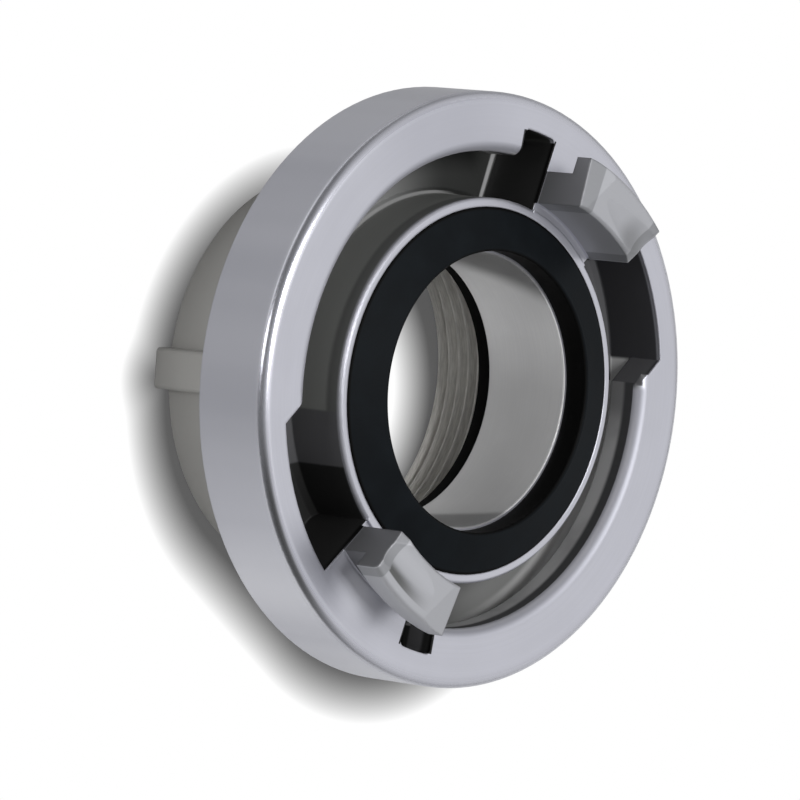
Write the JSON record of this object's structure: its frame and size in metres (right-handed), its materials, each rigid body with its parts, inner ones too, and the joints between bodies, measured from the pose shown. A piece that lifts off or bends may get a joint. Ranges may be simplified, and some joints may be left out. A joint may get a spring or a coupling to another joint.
{
  "type": "quarter turn fire hose coupling",
  "caption": "Aluminium fire hose coupling half with hooked claws, a helical locking groove, a rubber front seal and a female pipe thread with a flat gasket.",
  "frame": {"origin": "centre of the threaded end's face, at the bottom of the part", "axes": "+Z along the waterway, from the threaded end to the claws; the claws lie on +X and -X"},
  "size_m": [0.098, 0.098, 0.0487],
  "materials": {
    "body_metal": "pressed and machined, fine matt silver, darker where it is left as forged",
    "seal_rubber": "moulded, satin black",
    "gasket_rubber": "cut sheet, matt black"
  },
  "bodies": {
    "root": {"coupling_body": "body_metal", "front_seal": "seal_rubber", "thread_gasket": "gasket_rubber"}
  },
  "joints": []
}
